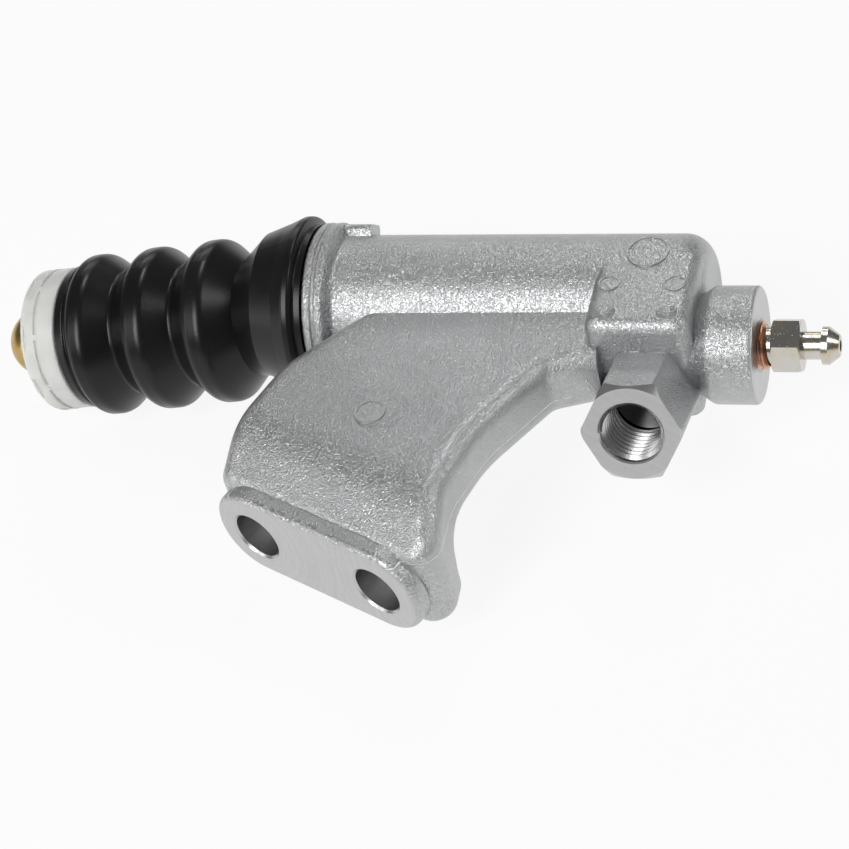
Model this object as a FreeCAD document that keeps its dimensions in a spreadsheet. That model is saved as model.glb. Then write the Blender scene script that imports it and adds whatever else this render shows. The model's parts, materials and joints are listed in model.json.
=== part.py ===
import FreeCAD, Part
import math
import os
import Sketcher

V = FreeCAD.Vector
os.makedirs("parts", exist_ok=True)
doc = FreeCAD.newDocument("clutch_slave_cylinder")
sheet = doc.addObject("Spreadsheet::Sheet", "sizes")

# Every independent size in millimetres, angles in degrees.
SIZES = {
    # bore and barrel, along X, with X = 0 on the boot side of the flange
    "bore_d": 15.87,
    "bore_end": 57.8,
    "barrel_d": 22.9,
    "end_wall": 7.4,
    "barrel_nose_r": 4.5,
    "flange_d": 27.0,
    "flange_w": 3.4,
    "nose_len": 4.0,
    "nose_d": 22.2,
    "nose_groove_d": 20.4,
    "bore_mouth_d": 17.2,
    # mounting arm and pad
    "pad_turn": 25.0,
    "pad_x": 8.9,
    "pad_y": 50.5,
    "pad_z": 7.7,
    "hole_pitch": 24.6,
    "hole_d": 8.5,
    "hole_bevel": 0.35,
    "pad_half": 8.1,
    "pad_proud": 2.5,
    "pad_round": 1.2,
    "arm_top": 7.2,
    "arm_bottom": 4.6,
    "arm_depth": 12.0,
    "arm_reach": 23.777,
    "arm_edge_r": 3.0,
    # square block and hexagonal port boss
    "block_back": 1.35,
    "block_len": 16.6,
    "block_front": 16.5,
    "block_top": 11.3,
    "block_bottom": 8.5,
    "block_r": 2.2,
    "port_x": 0.7,
    "port_tilt": 19.2,
    "port_y": 30.7,
    "port_z": 2.0,
    "port_len": 16.0,
    "port_flats": 15.9,
    "port_corners": 16.4,
    "port_side": 7.9,
    "port_face_d": 15.3,
    "port_thread_d": 10.0,
    "port_mouth_d": 10.5,
    "port_depth": 12.0,
    "port_feed_d": 2.6,
    # bleeder boss and screw
    "bleed_y": 9.1,
    "bleed_boss_d": 18.7,
    "bleed_len": 8.85,
    "bleed_thread_d": 6.9,
    "bleed_depth": 12.6,
    "bleed_hex": 8.0,
    "bleed_hex_gap": 2.0,
    "bleed_hex_len": 4.6,
    "nipple_d": 4.4,
    "nipple_barb_d": 6.0,
    "nipple_len": 5.8,
    # push rod, its ring and the boot
    "pivot_x": 7.6,
    "droop": 8.4,
    "rod_d": 6.0,
    "rod_ball_d": 11.7,
    "rod_ball_s": 62.3,
    "socket_ball_d": 9.0,
    "ring_d": 24.4,
    "ring_front": 60.1,
    "ring_w": 6.4,
    "boot_wall": 1.3,
    "boot_peak_d": 27.6,
    "boot_valley_d": 20.0,
    "boot_pitch": 11.3,
    "boot_first": 26.6,
    "bead_d": 29.2,
    # inner parts
    "run_fit": 0.04,
    "piston_len": 24.0,
    "cup_len": 5.0,
    "wire_d": 1.2,
    "spring_d": 11.2,
    "spring_turns": 6.0,
}


class Size:
    """A number together with the sheet formula that gives it."""

    def __init__(self, value, text):
        self.value = value
        self.text = text

    def __add__(self, other):
        o = size(other)
        return Size(self.value + o.value, "(%s + %s)" % (self.text, o.text))

    def __sub__(self, other):
        o = size(other)
        return Size(self.value - o.value, "(%s - %s)" % (self.text, o.text))

    def __mul__(self, other):
        o = size(other)
        return Size(self.value * o.value, "%s * %s" % (self.text, o.text))

    def __truediv__(self, other):
        o = size(other)
        return Size(self.value / o.value, "%s / %s" % (self.text, o.text))

    def __rsub__(self, other):
        return size(other) - self

    def __neg__(self):
        return Size(-self.value, "(-1 * %s)" % self.text)

    __radd__ = __add__
    __rmul__ = __mul__


def size(x):
    return x if isinstance(x, Size) else Size(float(x), "%.6g" % x)


def cos_of(angle):
    return Size(math.cos(math.radians(angle.value)), "cos(%s * 1 deg)" % angle.text)


def sin_of(angle):
    return Size(math.sin(math.radians(angle.value)), "sin(%s * 1 deg)" % angle.text)


class Sheet:
    pass


S = Sheet()
for row, (name, number) in enumerate(SIZES.items(), start=1):
    sheet.set("A%d" % row, name)
    sheet.set("B%d" % row, str(number))
    sheet.setAlias("B%d" % row, name)
    setattr(S, name, Size(float(number), "sizes." + name))
doc.recompute()
S.barrel_end = S.bore_end + S.end_wall
S.block_x = S.bore_end - S.block_back
S.bleed_end = S.barrel_end + S.bleed_len


def bind(obj, prop, value):
    obj.setExpression(prop, size(value).text)


def new_body(label):
    body = doc.addObject("PartDesign::Body", label)
    body.Label = label
    return body


def sketch_on(body, role, base=(0, 0, 0), axis=None, angle=0):
    """An empty sketch on an origin plane, moved by base and turned about axis."""
    plane = [o for o in body.Origin.OriginFeatures if o.Role == role][0]
    sk = body.newObject("Sketcher::SketchObject", "sketch")
    sk.AttachmentSupport = [(plane, "")]
    sk.MapMode = "FlatFace"
    turn = FreeCAD.Rotation(V(*axis), size(angle).value) if axis else FreeCAD.Rotation()
    sk.AttachmentOffset = FreeCAD.Placement(V(*[size(b).value for b in base]), turn)
    for letter, b in zip("xyz", base):
        bind(sk, "AttachmentOffset.Base." + letter, b)
    if axis:
        sk.setExpression("AttachmentOffset.Rotation.Angle", "%s * 1 deg" % size(angle).text)
    return sk


def hold(sk, kind, *args):
    """A driving constraint whose value comes from the sheet."""
    *refs, value = args
    value = size(value)
    index = sk.addConstraint(Sketcher.Constraint(kind, *refs, value.value))
    sk.setExpression("Constraints[%d]" % index, value.text)


def outline(sk, points):
    """Closed outline. A third value on a corner rounds it with that radius."""
    n = len(points)
    corners = [V(size(p[0]).value, size(p[1]).value, 0) for p in points]
    entry, leave, arcs = [], [], []
    for i, p in enumerate(points):
        c = corners[i]
        entry.append(c)
        leave.append(c)
        arcs.append(None)
        if len(p) > 2:
            r = size(p[2]).value
            back = (corners[i - 1] - c).normalize()
            on = (corners[(i + 1) % n] - c).normalize()
            half = back.getAngle(on) / 2
            inward = (back + on).normalize()
            centre = c + inward * (r / math.sin(half))
            entry[i] = c + back * (r / math.tan(half))
            leave[i] = c + on * (r / math.tan(half))
            left = back.x * on.y - back.y * on.x < 0
            arcs[i] = (Part.Arc(entry[i], centre - inward * r, leave[i]), (1, 2) if left else (2, 1))
    lines = [sk.addGeometry(Part.LineSegment(leave[i], entry[(i + 1) % n]), False) for i in range(n)]
    for i, p in enumerate(points):
        before, after = lines[i - 1], lines[i]
        if arcs[i] is None:
            sk.addConstraint(Sketcher.Constraint("Coincident", before, 2, after, 1))
            hold(sk, "DistanceX", -1, 1, after, 1, p[0])
            hold(sk, "DistanceY", -1, 1, after, 1, p[1])
            continue
        shape, (first, last) = arcs[i]
        g = sk.addGeometry(shape, False)
        mark = sk.addGeometry(Part.Point(corners[i]), True)
        sk.addConstraint(Sketcher.Constraint("Tangent", before, 2, g, first))
        sk.addConstraint(Sketcher.Constraint("Tangent", g, last, after, 1))
        sk.addConstraint(Sketcher.Constraint("PointOnObject", mark, 1, before))
        sk.addConstraint(Sketcher.Constraint("PointOnObject", mark, 1, after))
        hold(sk, "Radius", g, p[2])
        hold(sk, "DistanceX", -1, 1, mark, 1, p[0])
        hold(sk, "DistanceY", -1, 1, mark, 1, p[1])
    return sk


def disc(sk, x, y, d):
    """A circle of diameter d."""
    g = sk.addGeometry(Part.Circle(V(size(x).value, size(y).value, 0), V(0, 0, 1), size(d).value / 2), False)
    hold(sk, "DistanceX", -1, 1, g, 3, x)
    hold(sk, "DistanceY", -1, 1, g, 3, y)
    hold(sk, "Diameter", g, d)
    return sk


def turned(body, sk, cut=False, angle=360):
    """Revolve a sketch about its own horizontal axis."""
    kind = "Groove" if cut else "Revolution"
    f = body.newObject("PartDesign::" + kind, kind.lower())
    f.Profile = sk
    f.ReferenceAxis = (sk, ["H_Axis"])
    f.Angle = angle
    return f


def pushed(body, sk, length, cut=False, midplane=False, reverse=False):
    """Pad or pocket of a sketch."""
    kind = "Pocket" if cut else "Pad"
    f = body.newObject("PartDesign::" + kind, kind.lower())
    f.Profile = sk
    bind(f, "Length", length)
    f.Midplane = midplane
    f.Reversed = reverse
    return f


def rounded(body, base, radius, wanted):
    """Fillet on the edges of base that wanted(edge, faces beside it) picks."""
    doc.recompute()
    beside = {}
    for face in base.Shape.Faces:
        for e in face.Edges:
            beside.setdefault(e.hashCode(), []).append(face)
    names = []
    for i, e in enumerate(base.Shape.Edges):
        if wanted(e, beside[e.hashCode()]):
            names.append("Edge%d" % (i + 1))
    f = body.newObject("PartDesign::Fillet", "fillet")
    f.Base = (base, names)
    bind(f, "Radius", radius)
    return f


def hexagon(sk, flats):
    """Hexagon about the sketch origin with a flat facing up."""
    side = flats / math.sqrt(3)
    pts = [(side * math.cos(math.radians(60 * k)), side * math.sin(math.radians(60 * k))) for k in range(6)]
    return outline(sk, pts)


def pad_sketch(body, along=0, down=0, out=0):
    """Sketch looking square at the pad face: x along the hole line, y up."""
    sk = sketch_on(body, "XZ_Plane", (0, 0, 0), (0, 1, 0), -S.pad_turn)
    c, s = cos_of(S.pad_turn), sin_of(S.pad_turn)
    bind(sk, "AttachmentOffset.Base.x", S.pad_x + along * c - out * s)
    bind(sk, "AttachmentOffset.Base.y", -S.pad_z - down)
    bind(sk, "AttachmentOffset.Base.z", S.pad_y + along * s + out * c)
    return sk


def side_sketch(body):
    """Sketch square to the hole line: x backwards from the pad face, y up."""
    sk = sketch_on(body, "YZ_Plane", (-S.pad_y, 0, S.pad_x), (0, 1, 0), -S.pad_turn)
    return sk


def port_sketch(body):
    """Sketch through the port axis, x pointing into the boss from its mouth."""
    return sketch_on(body, "YZ_Plane", (-S.port_y, S.port_z, S.block_x + S.port_x), (0, 0, 1), -S.port_tilt)


def make_arm(body):
    """Arm from the barrel to the mounting pad, bent down at its end."""
    c, s = cos_of(S.pad_turn), sin_of(S.pad_turn)

    def at(along, out):
        return (S.pad_x + along * c - out * s, -S.pad_y - along * s - out * c)

    reach = S.hole_pitch / 2 + S.pad_half
    plan = sketch_on(body, "XY_Plane", (0, 0, -S.pad_z - S.pad_half))
    outline(plan, [
        (11.5, -6), (-1.6, -19.8, 14), (-6.6, -31.5, 30), at(-reach, -S.pad_proud), (*at(S.arm_reach, -S.pad_proud), 3.8),
        (31.0, -45.0, 15), (34.4, -33.8, 25), (42.6, -21.0, 2.5), (50, -18.6), (50, -6)])
    pushed(body, plan, S.pad_z + S.pad_half + S.arm_top + 1)
    over = outline(side_sketch(body), [
        (-8, 0.1), (2.6, 0.1, 3), (10.5, S.arm_top - 1.4, 14), (26, S.arm_top - 0.6, 30), (70, S.arm_top), (70, 30), (-8, 30)])
    pushed(body, over, 6 * reach, cut=True, midplane=True)
    under = outline(side_sketch(body), [
        (S.arm_depth, -30), (S.arm_depth, -S.arm_bottom, 7), (80, -S.arm_bottom), (80, -30)])
    return pushed(body, under, 6 * reach, cut=True, midplane=True)


def make_cylinder_body():
    """The casting: barrel, flange, arm, pad, port block and bleeder boss in one piece."""
    body = new_body("cylinder_body")
    arm = make_arm(body)
    for part in (lambda c: c.z > -0.5 and c.x < 8, lambda c: c.z > -0.5 and c.x > 8, lambda c: c.z < -0.5):
        arm = rounded(body, arm, S.arm_edge_r, lambda e, f: part(e.CenterOfMass) and wall_rim(e, f))

    fr, br = S.flange_d / 2, S.barrel_d / 2
    gr, nr, w = S.nose_groove_d / 2, S.nose_d / 2, S.flange_w
    barrel = outline(sketch_on(body, "XZ_Plane"), [
        (-S.nose_len, 0), (-S.nose_len, nr, 0.4), (-S.nose_len + 1.0, nr, 0.2), (-S.nose_len + 1.2, gr), (0, gr),
        (0, fr, 0.7), (1.35, fr, 0.3), (1.6, fr - 0.4, 0.2), (2.0, fr - 0.4, 0.2), (2.25, fr, 0.3), (w, fr, 0.6),
        (w + 1.0, br, 0.9), (S.barrel_end, br, S.barrel_nose_r), (S.barrel_end, 0)])
    turned(body, barrel)

    plate = outline(pad_sketch(body), stadium(S.hole_pitch, S.pad_half))
    pad = pushed(body, plate, S.pad_proud + 0.5, reverse=True)
    rounded(body, pad, S.pad_round, pad_rim)

    lug = outline(sketch_on(body, "YZ_Plane", (0, 0, w + 0.3), (0, 0, 1), 45), [
        (8, -2.6), (br + 1.7, -2.6, 1), (br + 1.7, 2.6, 1), (8, 2.6)])
    pushed(body, lug, 4.6)

    half = S.block_len / 2
    block = outline(sketch_on(body, "XY_Plane", (0, 0, -S.block_bottom)), [
        (S.block_x - half, 0), (S.block_x - half, -S.block_front, S.block_r),
        (S.block_x + half, -S.block_front, S.block_r), (S.block_x + half, 0)])
    block = pushed(body, block, S.block_bottom + S.block_top)
    rounded(body, block, S.block_r - 0.1, block_edge)

    flat, corner, side = S.port_flats / 2, S.port_corners / 2, S.port_side / 2
    boss = outline(sketch_on(body, "XZ_Plane", (S.block_x + S.port_x, S.port_z, S.port_y), (1, 0, 0), -S.port_tilt), [
        (corner, 0, 1.5), (side, flat, 0.5), (-side, flat, 0.5), (-corner, 0, 1.5), (-side, -flat, 0.5), (side, -flat, 0.5)])
    pushed(body, boss, S.port_len, reverse=True)

    by, bl = S.bleed_y, S.bleed_boss_d / 2
    neck = outline(sketch_on(body, "XZ_Plane", (0, 0, by)), [
        (S.block_x, 0), (S.block_x, bl - 1.8), (S.barrel_end - 0.8, bl - 1.8, 2.4), (S.barrel_end + 1.8, bl, 1.6),
        (S.bleed_end, bl, 0.6), (S.bleed_end, 0)])
    turned(body, neck)

    marks = (
        (S.block_x - 0.3, 0.1, br + 0.05, 6.8), (16.4, -31.2, S.arm_top - 0.75, 4.9),
        (S.block_x - 5.4, -7.1, S.block_top + 0.05, 3.4), (S.block_x + 5.1, -7.1, S.block_top + 0.05, 3.4))
    for x, y, top, d in marks:
        turned(body, outline(upright_sketch(body, x, y, top), [
            (-2.5, 0), (-2.5, d / 2), (0.15, d / 2), (0.15, d / 2 - 0.25), (0, d / 2 - 0.25), (0, 0)]))

    lean, rise = size(-74.0), br + 0.08
    face = sketch_on(body, "XZ_Plane", (17.3, -rise * sin_of(lean), rise * cos_of(lean)), (1, 0, 0), lean)
    pushed(body, disc(face, 0, 0, 4.8), 2, reverse=True)

    # inner surfaces
    b2, mr = S.bore_d / 2, S.bore_mouth_d / 2
    bore = outline(sketch_on(body, "XZ_Plane"), [
        (-S.nose_len - 1, 0), (-S.nose_len - 1, mr + 1), (-S.nose_len, mr), (-2.3, b2), (-1.6, b2), (-1.6, b2 + 0.8),
        (-0.5, b2 + 0.8), (-0.5, b2), (S.bore_end, b2), (S.bore_end, 3), (S.bore_end + 1.7, 0)])
    turned(body, bore, cut=True)
    pt, pm = S.port_thread_d / 2, S.port_mouth_d / 2
    port = outline(port_sketch(body), [
        (-1, 0), (-1, pm), (0, pm), (pm - pt, pt), (S.port_depth, pt), (S.port_depth + 2, S.port_feed_d / 2),
        (27, S.port_feed_d / 2), (27, 0)])
    turned(body, port, cut=True)
    face = S.port_face_d / 2
    bevel = outline(port_sketch(body), [(-1, face - 1), (-1, face + 2), (2.2, face + 2), (0, face), (0, face - 1)])
    turned(body, bevel, cut=True)
    bt = S.bleed_thread_d / 2
    bleed = outline(sketch_on(body, "XZ_Plane", (0, 0, by)), [
        (52, 0), (52, 1.5), (S.bleed_end - S.bleed_depth - 1.5, 1.5), (S.bleed_end - S.bleed_depth, bt),
        (S.bleed_end - 0.9, bt), (S.bleed_end, bt + 0.9), (S.bleed_end + 1, bt + 0.9), (S.bleed_end + 1, 0)])
    turned(body, bleed, cut=True)
    for side in (-1, 1):
        hole = outline(pad_hole_sketch(body, side), [
            (-1, 0), (-1, S.hole_d / 2 + S.hole_bevel), (0, S.hole_d / 2 + S.hole_bevel), (S.hole_bevel, S.hole_d / 2),
            (S.arm_depth - 0.6, S.hole_d / 2), (S.arm_depth - 0.6, S.hole_d / 2 + 2.6),
            (S.arm_depth + 4.2, S.hole_d / 2 + 2.6), (S.arm_depth + 4.2, 0)])
        turned(body, hole, cut=True)
    for x in (S.block_x - 5.0, S.block_x + 4.8):
        turned(body, outline(upright_sketch(body, x, -13.6, S.block_top), [(1, 0), (1, 1.7), (0, 1.7), (-0.9, 0)]), cut=True)
    return seat(body)


def pad_hole_sketch(body, side):
    """Sketch through a mounting hole: x backwards from the pad face along the hole axis."""
    shift = side * S.hole_pitch / 2
    sk = sketch_on(body, "YZ_Plane", (0, 0, 0), (0, 1, 0), -S.pad_turn)
    bind(sk, "AttachmentOffset.Base.x", -S.pad_y - shift * sin_of(S.pad_turn))
    bind(sk, "AttachmentOffset.Base.y", -S.pad_z)
    bind(sk, "AttachmentOffset.Base.z", S.pad_x + shift * cos_of(S.pad_turn))
    return sk


def upright_sketch(body, x, y, z):
    """Sketch through the vertical line at x, y, its own x axis pointing up from z."""
    return sketch_on(body, "XZ_Plane", (x, z, -y), (0, 0, 1), 90)


def stadium(pitch, r):
    """Outline with fully rounded ends of radius r about two centres."""
    p = pitch / 2 + r
    return [(-p, -r, r * 0.97), (p, -r, r * 0.97), (p, r, r * 0.97), (-p, r, r * 0.97)]


def pad_frame(p):
    """Distance of a point along the hole line, up, and out of the pad face."""
    a = math.radians(S.pad_turn.value)
    x, y = p.x - S.pad_x.value, -p.y - S.pad_y.value
    return x * math.cos(a) + y * math.sin(a), p.z + S.pad_z.value, y * math.cos(a) - x * math.sin(a)


def is_wall(face):
    """A free side wall of the arm."""
    c = face.CenterOfMass
    u, v = face.Surface.parameter(c)
    behind = abs(pad_frame(c)[2] + S.arm_depth.value) < 0.01
    return abs(face.normalAt(u, v).z) < 0.01 and c.y < -6.1 and c.x < 49.9 and not behind


def wall_rim(edge, faces):
    """Edge between a side wall of the arm and its top, back or bottom."""
    c = edge.CenterOfMass
    ends = c.y > -6.1 or c.x > 49.9 or abs(pad_frame(c)[2] + S.pad_proud.value) < 0.01
    back = [abs(pad_frame(f.CenterOfMass)[2] + S.arm_depth.value) < 0.01 for f in faces]
    low = [abs(f.CenterOfMass.z + S.pad_z.value + S.pad_half.value) < 0.01 for f in faces]
    walls = [is_wall(f) for f in faces]
    return not ends and (sum(walls) == 1 or (any(back) and any(low)))


def pad_rim(edge, faces):
    return abs(pad_frame(edge.CenterOfMass)[2]) < 0.01


def block_edge(edge, faces):
    c = edge.CenterOfMass
    return abs(c.y + S.block_front.value) < 0.01 and abs(c.z - S.block_top.value) < 0.01


def finish(bodies):
    doc.recompute()
    for obj in doc.Objects:
        if "Invalid" in obj.State or "Error" in obj.State:
            raise RuntimeError("%s is %s" % (obj.Name, obj.State))
    for body in bodies:
        if body.Shape.isNull() or not body.Shape.isValid():
            raise RuntimeError("bad shape: " + body.Label)
        body.Shape.exportStep("parts/%s.step" % body.Label)


def make_bleeder_screw():
    """Screw with a seat cone, a hexagon and a hose nipple, drilled along its axis."""
    body = new_body("bleeder_screw")
    tip = S.bleed_end - S.bleed_depth + 0.3
    root = S.bleed_thread_d / 2 - 0.1
    hx = S.bleed_end + S.bleed_hex_gap
    he = hx + S.bleed_hex_len
    end = he + S.nipple_len
    neck, barb = S.nipple_d / 2, S.nipple_barb_d / 2
    turned(body, outline(sketch_on(body, "XZ_Plane", (0, 0, S.bleed_y)), [
        (tip, 0), (tip, 1.3), (tip + 1.9, root), (hx - 1.4, root),
        (hx - 1.0, root - 0.4), (hx, root - 0.4), (hx, root), (he - 0.5, root), (he, neck + 0.5),
        (he, neck), (end - 2.9, neck), (end - 2.7, barb), (end - 1.7, barb), (end, 1.7, 0.3), (end, 0)]))
    pushed(body, hexagon(sketch_on(body, "YZ_Plane", (-S.bleed_y, 0, hx), (0, 0, 1), 20), S.bleed_hex), S.bleed_hex_len)
    big, small = S.bleed_hex * 0.62, S.bleed_hex / 2
    for a, b in ((hx, hx + 0.5), (he, he - 0.5)):
        turned(body, outline(sketch_on(body, "XZ_Plane", (0, 0, S.bleed_y)), [(a, small), (a, big), (b, big)]), cut=True)
    turned(body, outline(sketch_on(body, "XZ_Plane", (0, 0, S.bleed_y)), [
        (tip + 4, 0), (tip + 4, 0.9), (end + 1, 0.9), (end + 1, 0)]), cut=True)
    return seat(body)


def seat(obj, x=0, axis=(1, 0, 0), angle=0):
    """Carry an object, turned about axis at x on the bore axis, to the frame of the mounting face."""
    obj.Placement.Rotation = FreeCAD.Rotation(V(*axis), 1)
    obj.setExpression("Placement.Rotation.Angle", "%s * 1 deg" % size(angle).text)
    for letter, shift in zip("xyz", (size(x) - S.pad_x, S.pad_y, S.pad_z)):
        bind(obj, "Placement.Base." + letter, shift)
    return obj


def in_rod_frame(body):
    """Sit a body that is drawn along X from the swivel, tilted with the rod."""
    return seat(body, S.pivot_x, (0, 1, 0), -S.droop)


def make_push_rod():
    """Rod with a domed brass tip and an inner ball that swivels in the piston."""
    body = new_body("push_rod")
    tip, dome, r = S.rod_ball_s, S.rod_ball_d / 2, S.rod_d / 2
    inner, hub = S.socket_ball_d / 2, S.ring_front - S.ring_w
    turned(body, outline(sketch_on(body, "XZ_Plane"), [
        (-tip - dome, 0), (-tip - dome, dome, dome * 0.97), (-tip - 0.1, dome), (-tip - 0.1, dome - 0.6),
        (-hub, dome - 0.6), (-hub, dome + 0.6), (-hub + 1.2, dome + 0.6, 0.3), (-hub + 1.2, r, 1), (0, r), (0, 0)]))
    end = body.newObject("PartDesign::AdditiveSphere", "ball")
    bind(end, "Radius", inner)
    body.Tip = end
    return in_rod_frame(body)


def make_rod_retainer():
    """White ring on the rod: two flanges with small bridging lugs, and a hub in the boot."""
    body = new_body("rod_retainer")
    front, back = S.ring_front, S.ring_front - S.ring_w
    out, hole = S.ring_d / 2, S.rod_ball_d / 2 - 0.55
    turned(body, outline(sketch_on(body, "XZ_Plane"), [
        (-front, hole), (-front, out, 0.6), (-front + 2.6, out, 0.2), (-front + 2.6, out - 0.5), (-front + 3.1, out - 0.5),
        (-front + 3.1, out - 0.1, 0.2), (-back, out - 0.1, 0.3), (-back, 9.5), (-back + 3.6, 9.5, 0.4), (-back + 3.6, 7.6),
        (-back - 0.05, 7.6), (-back - 0.05, hole)]))
    lug = pushed(body, outline(sketch_on(body, "YZ_Plane", (0, 0, -front + 2.5)), [
        (out - 1.5, -0.5), (out - 0.05, -0.5), (out - 0.05, 0.5), (out - 1.5, 0.5)]), 0.7)
    around(body, lug, 8)
    slot = pushed(body, outline(sketch_on(body, "YZ_Plane", (0, 0, -front + 0.7)), [
        (-2.2, out - 0.35), (2.2, out - 0.35), (2.2, out + 1), (-2.2, out + 1)]), 1.3, cut=True, reverse=True)
    around(body, slot, 8)
    return in_rod_frame(body)


def around(body, feature, count):
    """Repeat a feature round the X axis."""
    f = body.newObject("PartDesign::PolarPattern", "pattern")
    f.Originals = [feature]
    f.Axis = ([o for o in body.Origin.OriginFeatures if o.Role == "X_Axis"][0], [""])
    f.Angle = 360
    f.Occurrences = count
    body.Tip = f
    return f


def boot_outline(inset):
    """Bellows from its small end to the last valley, drawn inset from the outer surface."""
    end = S.ring_front - S.ring_w - 0.3
    peak, valley = S.boot_peak_d / 2 - inset, S.boot_valley_d / 2 - inset
    pts = []
    if inset.value > 0:
        pts += [(-end - 1, 0), (-end - 1, 9.7), (-end + 2.2, 9.7)]
    else:
        pts += [(-end, 0), (-end, 12.2, 0.4), (-end + 1.6, 12.55, 0.3), (-end + 2.0, 12.2, 0.2)]
    for k in (2, 1, 0):
        at = -S.boot_first - S.boot_pitch * k
        pts += [(at - 1.0, peak, 1.5) if k == 2 else (at - 1.4, peak, 2.2), (at + 1.4, peak, 2.2)]
        if k:
            pts.append((at + S.boot_pitch / 2, valley + 0.25 * k, 0.8))
    last = -S.boot_first + S.boot_pitch / 2
    return pts + [(last, valley - 0.2), (last, 0)]


def make_boot():
    """Rubber bellows drooping with the rod, on a collar that grips the nose of the barrel."""
    body = new_body("boot")
    wall = S.boot_wall
    collar_x = -9.4
    last = -S.boot_first + S.boot_pitch / 2
    bead = S.bead_d / 2
    skins = (
        (size(0), [(collar_x, 0), (collar_x, 12.0), (-5.2, 13.6, 2), (-3.0, bead, 0.8), (-1.9, bead, 0.5), (-1.4, bead - 1.3, 0.3),
                   (-0.3, bead - 1.3), (-0.3, 0)]),
        (wall, [(collar_x, 0), (collar_x, 12.0 - wall), (-4.6, 12.2), (-4.3, S.nose_d / 2 + 0.15), (-2.75, S.nose_d / 2 + 0.15),
                (-2.75, S.nose_groove_d / 2 + 0.05), (1, S.nose_groove_d / 2 + 0.05), (1, 0)]))
    for inset, collar in skins:
        cut = inset.value > 0
        tilted = sketch_on(body, "XZ_Plane", (S.pivot_x, 0, 0), (0, 0, 1), S.droop)
        turned(body, outline(tilted, boot_outline(inset)), cut=cut)
        c, s = cos_of(S.droop), sin_of(S.droop)
        ring = disc(sketch_on(body, "YZ_Plane", (0, last * s, S.pivot_x + last * c), (1, 0, 0), -S.droop),
                    0, 0, 2 * (S.boot_valley_d / 2 - inset - 0.2))
        mouth = disc(sketch_on(body, "YZ_Plane", (0, 0, collar_x)), 0, 0, 2 * (12.0 - inset))
        kind = "Subtractive" if cut else "Additive"
        f = body.newObject("PartDesign::%sLoft" % kind, "loft")
        f.Profile = ring
        f.Sections = [mouth]
        f.Ruled = True
        turned(body, outline(sketch_on(body, "XZ_Plane"), collar), cut=cut)
    return seat(body)


def make_piston():
    """Piston with a swivel socket, a seal groove and a spigot for the cup."""
    body = new_body("piston")
    r, end, ball = S.bore_d / 2 - S.run_fit, S.piston_len - 0.4, S.socket_ball_d / 2 + 0.05
    turned(body, outline(sketch_on(body, "XZ_Plane"), [
        (-0.4, 0), (-0.4, r, 0.3), (end - 8.6, r), (end - 8.6, r - 2.3), (end - 5.2, r - 2.3), (end - 5.2, r),
        (end - 2, r, 0.3), (end - 2, 4), (end, 4, 0.3), (end, 0)]))
    turned(body, outline(sketch_on(body, "XZ_Plane"), [
        (-1.4, 0), (-1.4, ball + 2.2), (S.pivot_x, ball), (S.pivot_x + ball, ball, ball * 0.97), (S.pivot_x + ball, 0)]), cut=True)
    return seat(body)


def make_seal(label, start, length, inner, floor):
    """Rubber lip seal, open towards the pressure side."""
    body = new_body(label)
    r = S.bore_d / 2 - 0.02
    turned(body, outline(sketch_on(body, "XZ_Plane"), [
        (start, inner), (start, r - 0.3, 0.2), (start + length, r), (start + length, r - 0.8, 0.2), (start + floor, r - 1.5, 0.3),
        (start + floor, inner)]))
    return seat(body)


def make_spring_seat():
    body = new_body("spring_seat")
    at = S.piston_len + 0.15
    turned(body, outline(sketch_on(body, "XZ_Plane"), [
        (at, 0), (at, 6.2, 0.2), (at + 0.9, 6.2, 0.2), (at + 0.9, 4.6, 0.3), (at + 3.4, 4.6, 0.8), (at + 3.4, 0)]))
    return seat(body)


def make_snap_ring():
    """Open wire ring in the groove at the mouth of the bore."""
    body = new_body("snap_ring")
    r = S.bore_d / 2
    turned(body, outline(sketch_on(body, "XZ_Plane"), [
        (-1.5, r - 0.8), (-1.5, r + 0.65), (-0.6, r + 0.65), (-0.6, r - 0.8)]), angle=318)
    return seat(body, angle=20)


def make_return_spring():
    """Coil between the spring seat and the end of the bore."""
    body = new_body("return_spring")
    start = S.piston_len + 1.15
    height = S.bore_end - start - S.wire_d - 0.05
    wire = disc(sketch_on(body, "XZ_Plane"), start + S.wire_d / 2, S.spring_d / 2, S.wire_d)
    coil = body.newObject("PartDesign::AdditiveHelix", "coil")
    coil.Profile = wire
    coil.ReferenceAxis = (wire, ["H_Axis"])
    bind(coil, "Pitch", height / S.spring_turns)
    bind(coil, "Height", height)
    body.Tip = coil
    return seat(body)


finish([
    make_cylinder_body(), make_bleeder_screw(), make_push_rod(), make_rod_retainer(), make_boot(), make_piston(),
    make_seal("primary_cup", S.piston_len - 2.35, S.cup_len, 4.05, 2.5), make_seal("piston_seal", S.piston_len - 8.9, 3.2, 5.7, 1.6),
    make_spring_seat(), make_return_spring(), make_snap_ring()])
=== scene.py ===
"""Looks, light and camera for the clutch slave cylinder. Lengths are metres unless a name ends in _mm."""

import functools
import json
import math

import bmesh
import bpy
from bpy.props import FloatProperty, FloatVectorProperty, PointerProperty
from mathutils import Matrix, Quaternion, Vector

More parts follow.
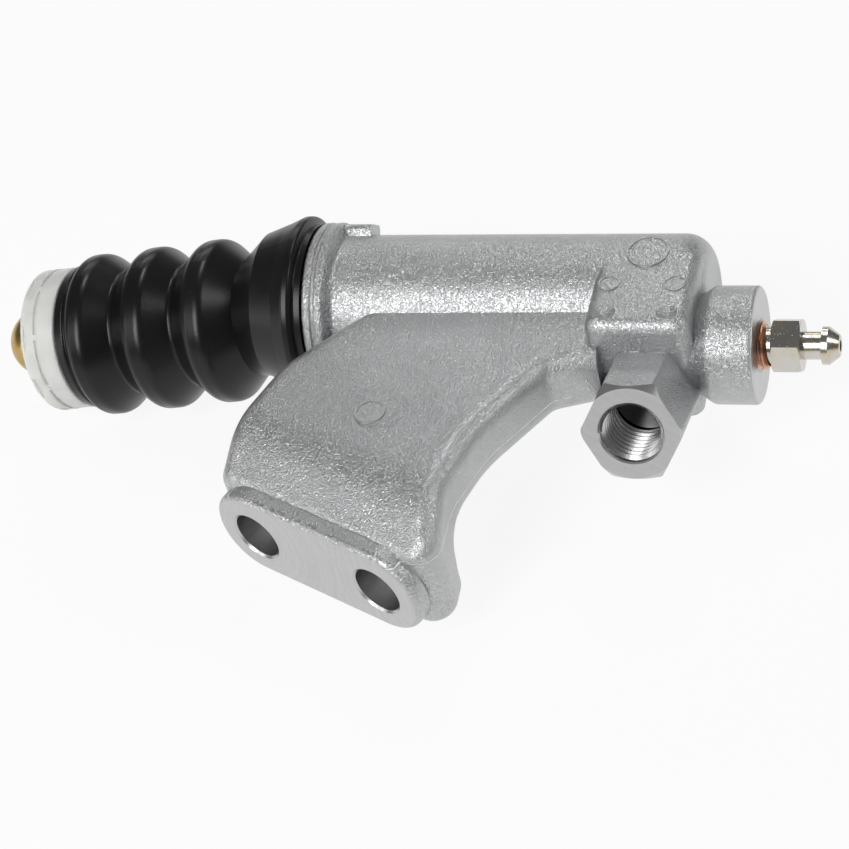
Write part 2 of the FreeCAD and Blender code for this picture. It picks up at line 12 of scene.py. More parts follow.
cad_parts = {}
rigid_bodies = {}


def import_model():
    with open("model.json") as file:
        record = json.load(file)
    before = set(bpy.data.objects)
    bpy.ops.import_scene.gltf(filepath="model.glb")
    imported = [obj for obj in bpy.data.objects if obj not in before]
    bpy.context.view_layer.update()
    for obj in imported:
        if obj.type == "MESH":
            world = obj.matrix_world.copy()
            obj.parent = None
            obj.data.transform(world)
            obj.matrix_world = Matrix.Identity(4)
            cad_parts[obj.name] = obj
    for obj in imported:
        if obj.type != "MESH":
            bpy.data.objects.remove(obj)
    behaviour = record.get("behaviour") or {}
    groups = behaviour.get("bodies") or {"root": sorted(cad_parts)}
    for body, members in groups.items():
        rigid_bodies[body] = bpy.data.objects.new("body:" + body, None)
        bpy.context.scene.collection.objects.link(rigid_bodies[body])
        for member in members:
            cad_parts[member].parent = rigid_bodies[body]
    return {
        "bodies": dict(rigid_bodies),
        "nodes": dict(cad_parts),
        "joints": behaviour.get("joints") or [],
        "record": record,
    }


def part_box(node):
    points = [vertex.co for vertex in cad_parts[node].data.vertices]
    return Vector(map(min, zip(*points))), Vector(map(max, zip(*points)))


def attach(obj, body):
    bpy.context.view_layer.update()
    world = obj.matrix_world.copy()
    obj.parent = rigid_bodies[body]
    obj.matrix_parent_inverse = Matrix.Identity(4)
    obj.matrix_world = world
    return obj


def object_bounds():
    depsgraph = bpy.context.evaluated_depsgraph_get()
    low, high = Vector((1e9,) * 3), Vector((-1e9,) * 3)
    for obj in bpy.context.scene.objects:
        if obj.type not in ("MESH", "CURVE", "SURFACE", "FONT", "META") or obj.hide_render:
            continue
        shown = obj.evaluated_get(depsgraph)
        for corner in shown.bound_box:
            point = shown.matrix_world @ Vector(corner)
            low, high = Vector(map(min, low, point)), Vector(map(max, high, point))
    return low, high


bl_info = {
    "name": "Clutch slave cylinder",
    "version": (1, 0, 0),
    "blender": (4, 5, 0),
    "location": "View3D > Sidebar > Slave Cylinder",
    "description": "Finishes, threads, light and camera for a clutch slave cylinder",
    "category": "Object",
}

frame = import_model()
CAD_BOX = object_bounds()
NODES = frame["nodes"]
MOUNTS = {mount["name"]: mount for mount in frame["record"]["mounts"]}
JOINTS = {joint["name"]: joint for joint in frame["joints"]}

MM = 0.001
SWIVEL = Vector(JOINTS["rod_swing"]["pos_m"])
BORE_AXIS = Vector((1, 0, 0))
ROD_AXIS = Vector(MOUNTS["rod_tip"]["axis"])
PORT = Vector(MOUNTS["hydraulic_port"]["pos_m"])
PORT_AXIS = Vector(MOUNTS["hydraulic_port"]["axis"])
PORT_RADIUS = MOUNTS["hydraulic_port"]["dims"]["r_mm"] * MM
PORT_WALL = MOUNTS["hydraulic_port"]["dims"]["length_mm"] * MM
PORT_MOUTH_RADIUS = 5.25 * MM
PORT_CHAMFER = PORT_MOUTH_RADIUS - PORT_RADIUS
PORT_MOUTH = PORT + PORT_AXIS * (PORT_WALL / 2 + PORT_CHAMFER)
PAD_AXIS = Vector(MOUNTS["mounting_face"]["axis"])
PAD_HOLES = [Vector(MOUNTS[name]["pos_m"]) for name in ("bolt_hole_left", "bolt_hole_right")]
PAD_HOLE_RADIUS = MOUNTS["bolt_hole_left"]["dims"]["r_mm"] * MM
SCREW = Vector(JOINTS["bleeder_turn"]["pos_m"])
CASTING_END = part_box("cylinder_body")[1].x
PARTING = SWIVEL.z - 0.9 * MM  # height of the line where the mould's halves met
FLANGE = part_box("boot")[1].x + 0.3 * MM  # where the bare flange of the barrel starts
BRIDGE_END = 37 * MM  # the parting line shows up to here along the bore
BRIDGE_SIDE = 34 * MM  # and up to here across it

# Name, direction from the object, width and height, watts
LAMPS = (
    ("key_lamp", (-0.26, -0.70, 0.66), (0.36, 0.62), 6.4),
    ("fill_lamp", (-0.80, -0.50, 0.35), (0.25, 0.70), 1.4),
    ("edge_lamp", (0.78, 0.08, 0.62), (0.25, 0.50), 2.0),
    ("back_lamp", (0.02, 0.56, 0.82), (0.16, 0.28), 1.6),
    ("rim_lamp", (-0.25, 0.90, 0.42), (0.60, 0.20), 1.0),
)
LAMP_DISTANCE = 1.0
LAMP_AIM = Vector((0, 30 * MM, 0))


class Value:
    """A number socket. Arithmetic on it adds Math nodes."""

    def __init__(self, shader, socket):
        self.shader = shader
        self.socket = socket

    def math(self, operation, *values):
        node = self.shader.node("ShaderNodeMath", {"operation": operation}, dict(enumerate(values)))
        return Value(self.shader, node.outputs[0])

    def __add__(self, other):
        return self.math("ADD", self, other)

    __radd__ = __add__

    def __sub__(self, other):
        return self.math("SUBTRACT", self, other)

    def __rsub__(self, other):
        return self.math("SUBTRACT", other, self)

    def __mul__(self, other):
        return self.math("MULTIPLY", self, other)

    __rmul__ = __mul__

    def __abs__(self):
        return self.math("ABSOLUTE", self)

    def __or__(self, other):
        return self.math("MAXIMUM", self, other)

    def __and__(self, other):
        return self.math("MINIMUM", self, other)

    def ramp(self, low, high):
        """0 below low, 1 above high, smooth between. low may be the larger."""
        node = self.shader.node(
            "ShaderNodeMapRange", {"interpolation_type": "SMOOTHSTEP"},
            {"Value": self, "From Min": low, "From Max": high})
        return Value(self.shader, node.outputs["Result"])

    def under(self, limit, soft=0.1):
        """1 up to the limit, then fading to 0."""
        return self.ramp(limit + soft, limit)

    def over(self, limit, soft=0.1):
        """1 from the limit up, fading to 0 below it."""
        return self.ramp(limit - soft, limit)


class Shader:
    """The node tree of one material or world."""

    def __init__(self, owner):
        self.owner = owner
        owner.use_nodes = True
        self.tree = owner.node_tree
        self.tree.nodes.clear()

    @functools.cached_property
    def place(self):
        """The shaded point in millimetres."""
        return self.vector("SCALE", self.node("ShaderNodeTexCoord").outputs["Object"], Scale=1 / MM)

    def node(self, kind, settings=None, inputs=None):
        """A node of that type, its settings made first, then values or links for its sockets."""
        node = self.tree.nodes.new(kind)
        for name, value in (settings or {}).items():
            setattr(node, name, value)
        for key, value in (inputs or {}).items():
            if isinstance(value, Value):
                value = value.socket
            if isinstance(value, bpy.types.NodeSocket):
                self.tree.links.new(value, node.inputs[key])
            else:
                node.inputs[key].default_value = value
        return node

    def vector(self, operation, *values, **named):
        inputs = dict(enumerate(values))
        inputs.update(named)
        node = self.node("ShaderNodeVectorMath", {"operation": operation}, inputs)
        number = operation in ("DOT_PRODUCT", "LENGTH", "DISTANCE")
        return Value(self, node.outputs["Value"]) if number else node.outputs["Vector"]

    def mix(self, share, a, b, blend="MIX"):
        """Colour a where share is 0 and b where it is 1."""
        node = self.node("ShaderNodeMix", {"data_type": "RGBA", "blend_type": blend}, {
            0: share, 6: a if isinstance(a, bpy.types.NodeSocket) else (*a, 1),
            7: b if isinstance(b, bpy.types.NodeSocket) else (*b, 1)})
        return node.outputs[2]

    def noise(self, size_mm, detail=2.0, distortion=0.0, stretch=(1, 1, 1)):
        """Noise from 0 to 1 with features of about that size."""
        place = self.vector("MULTIPLY", self.place, stretch)
        node = self.node("ShaderNodeTexNoise", {}, {
            "Vector": place, "Scale": 1 / size_mm, "Detail": detail, "Distortion": distortion})
        return Value(self, node.outputs["Fac"])

    def streaks(self, value, size_mm):
        """Noise that changes along one measured length only, as turning marks do."""
        node = self.node("ShaderNodeTexNoise", {"noise_dimensions": "1D"}, {
            "W": value, "Scale": 1 / size_mm, "Detail": 3.0})
        return Value(self, node.outputs["Fac"])

    def from_point(self, point):
        return self.vector("SUBTRACT", self.place, tuple(point / MM))

    def along(self, point, axis):
        """Distance in mm from point along axis."""
        return self.vector("DOT_PRODUCT", self.from_point(point), tuple(axis))

    def radius(self, point, axis):
        """Distance in mm from the line through point along axis."""
        return self.vector("LENGTH", self.vector("CROSS_PRODUCT", self.from_point(point), tuple(axis)))

    def bump(self, height, depth_mm, normal=None):
        """Normal of a surface that rises by depth_mm where height is 1."""
        inputs = {"Height": height, "Distance": depth_mm * MM}
        if normal is not None:
            inputs["Normal"] = normal
        return self.node("ShaderNodeBump", {}, inputs).outputs["Normal"]

    def finish(self, **inputs):
        """Principled surface. Underscores stand for the spaces in a socket's name."""
        surface = self.node("ShaderNodeBsdfPrincipled", {}, {
            name.replace("_", " "): (*value, 1) if "Color" in name and isinstance(value, tuple) else value
            for name, value in inputs.items()})
        self.node("ShaderNodeOutputMaterial", {}, {"Surface": surface.outputs[0]})
        return self.owner

    def seen(self):
        """1 for rays from the camera, from glossy and from clear surfaces."""
        path = self.node("ShaderNodeLightPath").outputs
        camera, glossy, clear = (Value(self, path[name]) for name in (
            "Is Camera Ray", "Is Glossy Ray", "Is Transmission Ray"))
        return camera, glossy | clear


def material(name):
    return Shader(bpy.data.materials.new(name))


def paint(name, finish):
    """Give a solid that material on all its faces."""
    mesh = NODES[name].data
    mesh.materials.clear()
    mesh.materials.append(finish)


def piece(name, bm, finish, body):
    """A finished mesh as an object at the origin that rides on a body."""
    bmesh.ops.remove_doubles(bm, verts=bm.verts, dist=1e-7)
    bmesh.ops.recalc_face_normals(bm, faces=bm.faces)
    mesh = bpy.data.meshes.new(name)
    bm.to_mesh(mesh)
    bm.free()
    mesh.materials.append(finish)
    mesh.shade_smooth()
    mesh.set_sharp_from_angle(angle=math.radians(40))
    obj = bpy.data.objects.new(name, mesh)
    bpy.context.scene.collection.objects.link(obj)
    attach(obj, body)
    return obj


def thread(at, axis, root, crest, pitch, turns):
    """Helical ridge from at along axis, from its root radius to its crest radius, fading at both ends."""
    steps = 64
    bm = bmesh.new()
    sink = (root - crest) * 0.12
    half = pitch * 0.46
    tip = pitch * 0.07
    run_out = pitch * 0.4 + half
    corners = ((root + sink, -half), (root + sink, half), (crest, tip), (crest, -tip))
    verts = [bm.verts.new((r, 0, z)) for r, z in corners]
    section = bm.faces.new(verts)
    bmesh.ops.spin(
        bm, geom=[section, *section.edges, *verts], cent=(0, 0, 0), axis=(0, 0, 1),
        dvec=(0, 0, pitch / steps), angle=math.tau * turns, steps=round(steps * turns), use_merge=False)
    length = pitch * turns
    for vert in bm.verts:
        reach = math.hypot(vert.co.x, vert.co.y)
        fade = min(1.0, (vert.co.z + half) / run_out, (length - vert.co.z + half) / run_out)
        if abs(reach - crest) < 1e-6 and fade < 1:
            vert.co.xy *= (root + (crest - root) * max(fade, 0)) / reach
    turn = Vector(axis).to_track_quat("Z", "Y").to_matrix().to_4x4()
    bmesh.ops.transform(bm, matrix=Matrix.Translation(at) @ turn, verts=bm.verts)
    return bm


def colour_of(name, description, default):
    return FloatVectorProperty(
        name=name, description=description, subtype="COLOR", default=default, min=0, max=1)


def share_of(name, description, default):
    return FloatProperty(
        name=name, description=description, subtype="FACTOR", default=default, min=0, max=1)


class CastingLook(bpy.types.PropertyGroup):
    colour: colour_of("Casting", "Colour of the as-cast skin", (0.56, 0.565, 0.57))
    machined: colour_of("Machined", "Colour of the cut faces", (0.56, 0.56, 0.56))
    grain: FloatProperty(
        name="Grain", description="Size of the skin's wormy grain in millimetres",
        default=0.60, min=0.1, max=5)
    grain_depth: FloatProperty(
        name="Grain depth", description="Height of the grain in millimetres",
        default=0.07, min=0, max=1)
    thread_pitch: FloatProperty(
        name="Port thread pitch", description="Advance of the port's thread in one turn",
        default=0.00125, min=0.0005, max=0.003, unit="LENGTH")
    thread_depth: FloatProperty(
        name="Port thread depth", description="Height of the port's thread over its root",
        default=0.0006, min=0.0002, max=0.002, unit="LENGTH")


class RubberLook(bpy.types.PropertyGroup):
    colour: colour_of("Rubber", "Colour of the bellows", (0.0065, 0.0065, 0.007))
    roughness: share_of("Roughness", "Roughness of the rubber", 0.30)


class RodLook(bpy.types.PropertyGroup):
    brass: colour_of("Rod", "Colour of the rod's golden tip", (0.50, 0.34, 0.11))
    nylon: colour_of("Ring", "Colour of the nylon ring", (0.76, 0.77, 0.74))


class BleederLook(bpy.types.PropertyGroup):
    plating: colour_of("Plating", "Colour of the zinc plating", (0.60, 0.585, 0.55))
    tint: colour_of("Tint", "Golden tint of the plating", (0.60, 0.50, 0.33))
    copper: colour_of("Thread", "Colour of the coated thread", (0.66, 0.34, 0.20))
    thread_pitch: FloatProperty(
        name="Thread pitch", description="Advance of the screw's thread in one turn",
        default=0.00125, min=0.0005, max=0.003, unit="LENGTH")


class StageLook(bpy.types.PropertyGroup):
    camera: FloatVectorProperty(
        name="Camera", description="Place of the camera", subtype="XYZ",
        default=(0.1428, -0.2699, 0.3103), unit="LENGTH")
    view: FloatVectorProperty(
        name="View", description="Direction the camera looks in", subtype="DIRECTION",
        default=(-0.292, 0.665, -0.687))
    roll: FloatProperty(
        name="Roll", description="Turn of the camera about its line of sight", subtype="ANGLE",
        default=math.radians(-15.9))
    lens: FloatProperty(
        name="Lens", description="Focal length in millimetres", default=118.7, min=20, max=400)
    floor_size: FloatProperty(
        name="Floor", description="Side of the pale floor", default=6.0, min=1, max=40, unit="LENGTH")
    shadow: share_of("Shadow", "How much of the floor's own shading shows", 0.10)
    ambient: FloatProperty(
        name="Ambient", description="Strength of the even light around the object",
        default=0.10, min=0, max=2)
    sheen: share_of("Sheen", "How much of the white surroundings metal mirrors", 0.08)


class SlaveCylinder(bpy.types.PropertyGroup):
    casting: PointerProperty(type=CastingLook)
    rubber: PointerProperty(type=RubberLook)
    rod: PointerProperty(type=RodLook)
    bleeder: PointerProperty(type=BleederLook)
    stage: PointerProperty(type=StageLook)


def machined_mask(s):
    """1 on the faces that were cut after casting: pad, bolt holes, port, bleeder boss and bores."""
    hole_rim = PAD_HOLE_RADIUS / MM + 0.4
    spot_radius, spot_depth, hole_depth = 7.0, -5.2, -12
    mask = s.along(Vector((0, 0, 0)), PAD_AXIS).over(-0.1)
    for hole in PAD_HOLES:
        depth = s.along(hole, PAD_AXIS)
        reach = s.radius(hole, PAD_AXIS)
        through = depth.over(hole_depth, 0.5)
        mask = mask | (reach.under(hole_rim) & through)
        mask = mask | (reach.under(spot_radius) & depth.under(spot_depth, 0.2) & through)
    face_radius, bore_radius, bore_depth = 11, 5.5, -14
    bevel_slope, bevel_start, bevel_depth = 0.909, 7.61, -2.4
    depth = s.along(PORT_MOUTH, PORT_AXIS)
    reach = s.radius(PORT_MOUTH, PORT_AXIS)
    near = reach.under(face_radius, 1)
    mask = mask | (depth.over(-0.1) & near)
    mask = mask | (reach.under(bore_radius) & depth.over(bore_depth, 1))
    bevel = reach + depth * bevel_slope
    mask = mask | (bevel.over(bevel_start, 0.08) & near & depth.over(bevel_depth))
    screw_radius, screw_depth = 4.4, -12
    end = s.along(Vector((CASTING_END, 0, 0)), BORE_AXIS)
    mask = mask | end.over(-0.08, 0.07)
    return mask | (s.radius(SCREW, BORE_AXIS).under(screw_radius) & end.over(screw_depth, 1))


def parting_seam(s, patches):
    """1 on the wavering line where the mould's halves met, on the outer side of the arm."""
    height = s.along(Vector((0, 0, PARTING)), (0, 0, 1)) + patches * 0.5
    beside = s.along(Vector((0, BRIDGE_SIDE, 0)), (0, -1, 0)).over(1, 1)
    before = s.along(Vector((BRIDGE_END, 0, 0)), (-1, 0, 0)).over(1, 1)
    return abs(height - 0.25).under(0.08, 0.12) & beside & before


def flange_chatter(s):
    """Turning marks on the bare flange of the barrel."""
    flange = s.along(Vector((FLANGE, 0, 0)), BORE_AXIS)
    width, radius = 3.8, 15
    band = flange.over(0.1, 0.3) & flange.under(width, 0.8)
    band = band & s.radius(SWIVEL, BORE_AXIS).under(radius, 0.5)
    return s.noise(0.9, 1.5, 1.0, (3.0, 1.0, 1.0)) * band


def cast_aluminium(look):
    """Wormy cast skin, with milled and turned faces where the casting was cut, a painted highlight on the
    parting line and painted shade deep in the port's bore.
    """
    pit_colour, stain_colour, speck_colour = (0.34, 0.345, 0.35), (0.50, 0.495, 0.48), (0.25, 0.25, 0.25)
    # Colours of the painted highlight on the parting line and of the painted shade deep in the port's bore.
    seam_highlight_colour, port_shade_colour = (0.9, 0.9, 0.9), (0.03, 0.03, 0.03)
    s = material("cast_aluminium")
    cut = machined_mask(s)
    skin = 1 - cut
    worm = s.noise(look.grain, 1.0, 1.2)
    fine = s.noise(look.grain * 0.4, 2.0)
    ridges = abs(worm - 0.5).ramp(0.0, 0.16)
    patches = s.noise(9, 3.0)
    blotch = s.noise(2.2, 3.0)
    seam = parting_seam(s, patches)
    chatter = flange_chatter(s)
    colour = s.mix(patches.ramp(0.35, 0.7) * 0.6, tuple(look.colour), tuple(c * 0.9 for c in look.colour))
    colour = s.mix((1 - ridges) * 0.16, colour, pit_colour)
    depth = s.along(PORT_MOUTH, PORT_AXIS)
    reach = s.radius(PORT_MOUTH, PORT_AXIS)
    turning = s.streaks(reach + depth, 0.22)
    milling = s.streaks(s.along(PAD_HOLES[0], PAD_AXIS) + s.radius(PAD_HOLES[0], PAD_AXIS) * 0.3, 0.25)
    marks = (turning + milling) * 0.5
    cut_colour = s.mix(
        marks.ramp(0.35, 0.65) * 0.4, tuple(look.machined), tuple(c * 0.82 for c in look.machined))
    cut_colour = s.mix(blotch.ramp(0.5, 0.75) * 0.35, cut_colour, stain_colour)
    cut_colour = s.mix(s.noise(0.3, 4.0).ramp(0.66, 0.74) * 0.5, cut_colour, speck_colour)
    colour = s.mix(cut, colour, cut_colour)
    # Painted highlight: the parting line is lightened towards white as if light caught its ridge; the ridge
    # itself is also bumped below.
    colour = s.mix(seam * skin * 0.7, colour, seam_highlight_colour)
    # Painted shade: the deep part of the port's bore is coloured nearly black where shade falls.
    port_shade = depth.ramp(-8.5, -11) & reach.under(5.2, 0.2) & depth.over(-19, 1)
    colour = s.mix(port_shade * 0.92, colour, port_shade_colour)
    normal = s.bump((ridges * 0.8 + fine * 0.35) * skin, look.grain_depth)
    normal = s.bump(seam * skin, 0.2, normal)
    normal = s.bump(chatter, 0.22, normal)
    normal = s.bump(marks * cut, 0.012, normal)
    roughness = skin * (0.32 + 0.10 * patches + 0.06 * fine) + cut * (0.26 + 0.12 * blotch)
    return s.finish(Base_Color=colour, Metallic=1.0, Roughness=roughness, Normal=normal)


def thread_aluminium(look):
    """Bright turned metal of the port's thread."""
    s = material("cut_thread")
    marks = s.streaks(s.radius(PORT_MOUTH, PORT_AXIS), 0.15)
    colour = s.mix(marks.ramp(0.3, 0.7) * 0.4, tuple(look.machined), tuple(c * 0.85 for c in look.machined))
    return s.finish(Base_Color=colour, Metallic=1.0, Roughness=0.22 + 0.1 * marks, Normal=s.bump(marks, 0.01))


def rubber(name, look):
    """Black rubber with a faint bloom and dust."""
    dust_colour = (0.035, 0.035, 0.035)
    s = material(name)
    dust = s.noise(0.9, 6.0).ramp(0.62, 0.80)
    bloom = s.noise(7, 4.0)
    fine = s.noise(0.25, 3.0)
    pale = tuple(min(1, c * 1.8) for c in look.colour)
    colour = s.mix(bloom.ramp(0.4, 0.75) * 0.5, tuple(look.colour), pale)
    colour = s.mix(dust * 0.22, colour, dust_colour)
    roughness = look.roughness + 0.12 * bloom - 0.06 + 0.12 * dust
    normal = s.bump(fine + bloom * 2, 0.012)
    return s.finish(Base_Color=colour, Roughness=roughness, Normal=normal, Specular_IOR_Level=0.32)


def white_nylon(look):
    """Milky nylon that lets some light in."""
    s = material("white_nylon")
    cloud = s.noise(5, 3.0)
    fine = s.noise(0.5, 2.0)
    colour = s.mix(cloud.ramp(0.3, 0.7), tuple(look.nylon), tuple(c * 0.93 for c in look.nylon))
    return s.finish(
        Base_Color=colour, Roughness=0.28 + 0.14 * cloud, Normal=s.bump(cloud * 0.7 + fine * 0.3, 0.05),
        Subsurface_Weight=0.6, Subsurface_Radius=(1.0, 1.0, 0.9), Subsurface_Scale=0.003,
        Coat_Weight=0.2, Coat_Roughness=0.15)


def golden_rod(look):
    """Yellow plated steel with rings from turning."""
    bright_ring = (0.72, 0.56, 0.28)
    s = material("golden_rod")
    reach = s.radius(SWIVEL, ROD_AXIS)
    turning = s.streaks(reach + s.along(SWIVEL, ROD_AXIS) * 0.5, 0.12)
    stain = s.noise(3, 4.0)
    colour = s.mix(stain.ramp(0.4, 0.7) * 0.5, tuple(look.brass), tuple(c * 0.7 for c in look.brass))
    colour = s.mix(turning.ramp(0.35, 0.7) * 0.25, colour, bright_ring)
    return s.finish(
        Base_Color=colour, Metallic=1.0, Roughness=0.22 + 0.12 * stain, Normal=s.bump(turning, 0.01))


def plated_steel(look):
    """Zinc plated steel, golden in patches and more so on the nipple's neck."""
    pit_colour = (0.36, 0.34, 0.30)
    s = material("plated_steel")
    tarnish = s.noise(2.4, 4.0)
    pits = s.noise(0.35, 3.0).ramp(0.62, 0.74)
    turning = s.streaks(s.along(SCREW, BORE_AXIS) + s.radius(SCREW, BORE_AXIS) * 0.4, 0.14)
    neck = s.along(Vector((CASTING_END, 0, 0)), BORE_AXIS).over(7.2, 0.6)
    colour = s.mix(tarnish.ramp(0.42, 0.68) * (0.45 + 0.35 * neck), tuple(look.plating), tuple(look.tint))
    colour = s.mix(pits * 0.35, colour, pit_colour)
    return s.finish(
        Base_Color=colour, Metallic=1.0, Roughness=0.16 + 0.12 * tarnish + 0.10 * pits,
        Normal=s.bump(turning * 0.6 - pits, 0.008))


def coppered_thread(look):
    """Copper coloured coating, worn bright on the crests."""
    worn_colour = (0.80, 0.56, 0.42)
    s = material("coppered_thread")
    wear = s.noise(1.1, 4.0)
    crest = s.radius(SCREW, BORE_AXIS).ramp(3.6, 3.9)
    colour = s.mix(crest * wear.ramp(0.3, 0.6) * 0.6, tuple(look.copper), worn_colour)
    return s.finish(Base_Color=colour, Metallic=1.0, Roughness=0.24 + 0.18 * wear, Normal=s.bump(wear, 0.02))


def bright_metal(name, colour, roughness, line_mm):
    """Drawn or turned metal with fine lines across the bore."""
    s = material(name)
    lines = s.streaks(s.along(SWIVEL, BORE_AXIS), line_mm)
    stain = s.noise(4, 3.0)
    shade = s.mix(lines.ramp(0.3, 0.7) * 0.4, colour, tuple(c * 0.75 for c in colour))
    return s.finish(
        Base_Color=shade, Metallic=1.0, Roughness=roughness + 0.12 * stain, Normal=s.bump(lines, 0.008))


def follow(name, body, front, back, power=1.0):
    """Carry a springy solid with a body: fully up to x = front, fading to none at x = back."""
    solid = NODES[name]
    group = solid.vertex_groups.new(name="follow")
    for vert in solid.data.vertices:
        share = (back - vert.co.x) / (back - front)
        if share > 0:
            group.add([vert.index], min(share, 1.0) ** power, "REPLACE")
    hook = solid.modifiers.new("follow", "HOOK")
    hook.object = frame["bodies"][body]
    hook.vertex_group = group.name
    hook.falloff_type = "NONE"
    hook.matrix_inverse = Matrix.Identity(4)
    hook.strength = 1.0


class SLAVE_OT_casting(bpy.types.Operator):
    """Finish the casting and cut the thread of its hydraulic port"""

    bl_idname = "slave.casting"
    bl_label = "Casting"

    def execute(self, context):
        look = context.scene.slave_cylinder.casting
        paint("cylinder_body", cast_aluminium(look))
        start = PORT_MOUTH - PORT_AXIS * (PORT_CHAMFER + 0.2 * look.thread_pitch)
        turns = math.floor((PORT_WALL - look.thread_pitch) / look.thread_pitch * 2) / 2
        bm = thread(start, -PORT_AXIS, PORT_RADIUS, PORT_RADIUS - look.thread_depth, look.thread_pitch, turns)
        piece("port_thread", bm, thread_aluminium(look), "housing")
        return {"FINISHED"}


class SLAVE_OT_boot(bpy.types.Operator):
    """Finish the rubber bellows and make it follow the rod"""

    bl_idname = "slave.boot"
    bl_label = "Bellows"

    def execute(self, context):
        paint("boot", rubber("boot_rubber", context.scene.slave_cylinder.rubber))
        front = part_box("rod_retainer")[1].x - 4 * MM
        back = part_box("piston")[0].x - 9 * MM
        follow("boot", "rod", front, back, 0.5)
        return {"FINISHED"}


class SLAVE_OT_rod(bpy.types.Operator):
    """Finish the push rod and its nylon ring"""

    bl_idname = "slave.rod"
    bl_label = "Push rod"

    def execute(self, context):
        look = context.scene.slave_cylinder.rod
        paint("push_rod", golden_rod(look))
        paint("rod_retainer", white_nylon(look))
        return {"FINISHED"}


class SLAVE_OT_bleeder(bpy.types.Operator):
    """Finish the bleeder screw and cut its thread"""

    bl_idname = "slave.bleeder"
    bl_label = "Bleeder screw"

    def execute(self, context):
        look = context.scene.slave_cylinder.bleeder
        paint("bleeder_screw", plated_steel(look))
        start = SCREW.copy()
        start.x = CASTING_END - 1.1 * MM
        bm = thread(start, BORE_AXIS, 3.33 * MM, 3.9 * MM, look.thread_pitch, 2)
        piece("bleeder_thread", bm, coppered_thread(look), "bleeder")
        return {"FINISHED"}


class SLAVE_OT_inner(bpy.types.Operator):
    """Finish the pieces inside the bore and make the spring follow the piston"""

    bl_idname = "slave.inner"
    bl_label = "Inner pieces"

    def execute(self, context):
        seals = rubber("seal_rubber", context.scene.slave_cylinder.rubber)
        steel = bright_metal("spring_steel", (0.34, 0.34, 0.35), 0.28, 0.3)
        paint("piston", bright_metal("piston_alloy", (0.58, 0.56, 0.50), 0.22, 0.18))
        for name in ("primary_cup", "piston_seal"):
            paint(name, seals)
        for name in ("return_spring", "snap_ring"):
            paint(name, steel)
        front, back = (corner.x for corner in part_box("return_spring"))
        follow("return_spring", "piston", front, back)
        paint("spring_seat", NODES["rod_retainer"].data.materials[0])
        return {"FINISHED"}


def light(name, direction, size, power):
    """Soft lamp that shines at the object from that direction."""
    way = Vector(direction).normalized()
    data = bpy.data.lights.new(name, "AREA")
    data.shape = "RECTANGLE"
    data.size, data.size_y = size
    data.energy = power
    lamp = bpy.data.objects.new(name, data)
    bpy.context.scene.collection.objects.link(lamp)
    lamp.location = LAMP_AIM + way * LAMP_DISTANCE
    lamp.rotation_mode = "QUATERNION"
    lamp.rotation_quaternion = way.to_track_quat("Z", "Y")
    lamp.visible_camera = False


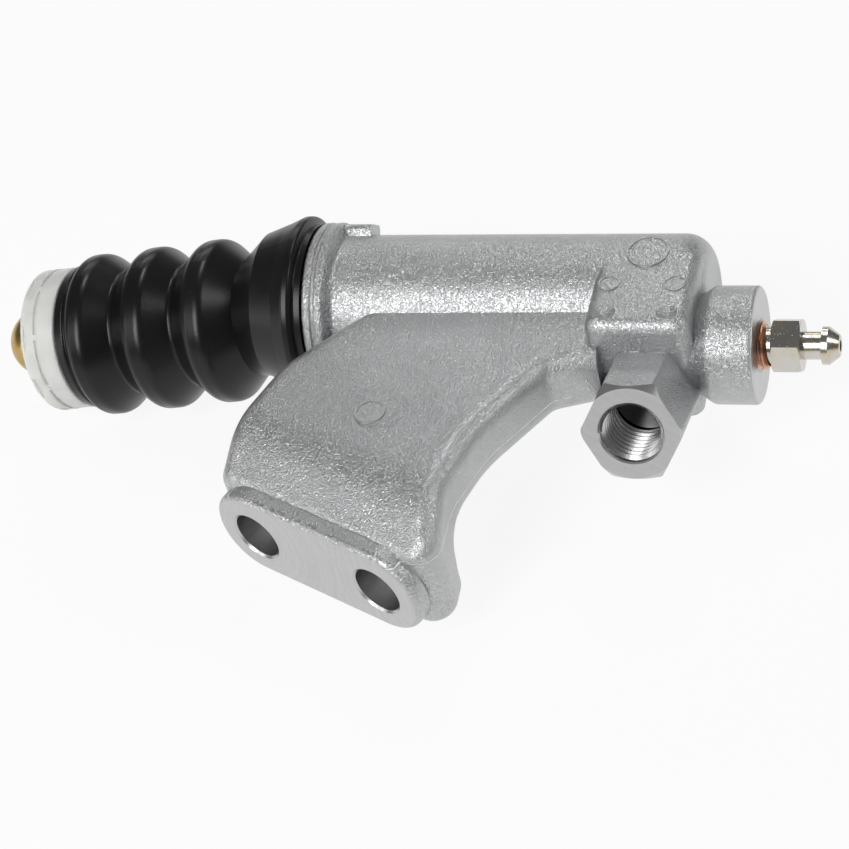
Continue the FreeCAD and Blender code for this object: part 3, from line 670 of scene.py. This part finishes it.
class SLAVE_OT_stage(bpy.types.Operator):
    """Make the pale floor, the soft lamps and the camera"""

    bl_idname = "slave.stage"
    bl_label = "Stage"

    def execute(self, context):
        look = context.scene.slave_cylinder.stage
        scene = context.scene
        scene.view_settings.view_transform = "Standard"
        self.floor(look)
        self.world(scene, look)
        for lamp in LAMPS:
            light(*lamp)
        data = bpy.data.cameras.new("camera")
        data.sensor_width = 36.0
        data.lens = look.lens
        camera = bpy.data.objects.new("camera", data)
        scene.collection.objects.link(camera)
        camera.location = look.camera
        camera.rotation_mode = "QUATERNION"
        aim = Vector(look.view).to_track_quat("-Z", "Y")
        camera.rotation_quaternion = aim @ Quaternion((0, 0, 1), look.roll)
        scene.camera = camera
        return {"FINISHED"}

    def floor(self, look):
        bm = bmesh.new()
        bmesh.ops.create_grid(bm, x_segments=1, y_segments=1, size=look.floor_size / 2)
        bmesh.ops.translate(bm, vec=(0, 0, CAD_BOX[0].z - 0.3 * MM), verts=bm.verts)
        mesh = bpy.data.meshes.new("floor")
        bm.to_mesh(mesh)
        bm.free()
        s = material("pale_floor")
        camera, mirrored = s.seen()
        plain = s.node("ShaderNodeBsdfDiffuse", {}, {"Color": (0.9, 0.9, 0.9, 1)})
        white = s.node("ShaderNodeEmission", {}, {"Strength": 1.0})
        share = (camera | mirrored) * (1 - look.shadow)
        blend = s.node("ShaderNodeMixShader", {}, {0: share, 1: plain.outputs[0], 2: white.outputs[0]})
        s.node("ShaderNodeOutputMaterial", {}, {"Surface": blend.outputs[0]})
        mesh.materials.append(s.owner)
        floor = bpy.data.objects.new("floor", mesh)
        bpy.context.scene.collection.objects.link(floor)

    def world(self, scene, look):
        s = Shader(bpy.data.worlds.new("studio"))
        scene.world = s.owner
        camera, mirrored = s.seen()
        ambient = s.node("ShaderNodeBackground", {}, {"Strength": look.ambient})
        white = s.node("ShaderNodeBackground", {}, {"Strength": 1.0})
        share = camera | mirrored * look.sheen
        blend = s.node("ShaderNodeMixShader", {}, {0: share, 1: ambient.outputs[0], 2: white.outputs[0]})
        s.node("ShaderNodeOutputWorld", {}, {"Surface": blend.outputs[0]})


class SLAVE_PT_panel(bpy.types.Panel):
    """Steps that dress the slave cylinder"""

    bl_idname = "SLAVE_PT_panel"
    bl_label = "Slave Cylinder"
    bl_space_type = "VIEW_3D"
    bl_region_type = "UI"
    bl_category = "Slave Cylinder"

    def draw(self, context):
        for operator in OPERATORS:
            self.layout.operator(operator.bl_idname)


OPERATORS = (SLAVE_OT_casting, SLAVE_OT_boot, SLAVE_OT_rod, SLAVE_OT_bleeder, SLAVE_OT_inner, SLAVE_OT_stage)
GROUPS = (CastingLook, RubberLook, RodLook, BleederLook, StageLook, SlaveCylinder)
CLASSES = (*GROUPS, *OPERATORS, SLAVE_PT_panel)


def register():
    for cls in CLASSES:
        bpy.utils.register_class(cls)
    bpy.types.Scene.slave_cylinder = PointerProperty(type=SlaveCylinder)


def unregister():
    del bpy.types.Scene.slave_cylinder
    for cls in reversed(CLASSES):
        bpy.utils.unregister_class(cls)


def main():
    register()
    bpy.ops.slave.casting()
    bpy.ops.slave.boot()
    bpy.ops.slave.rod()
    bpy.ops.slave.bleeder()
    bpy.ops.slave.inner()
    bpy.ops.slave.stage()


if __name__ == "__main__":
    main()
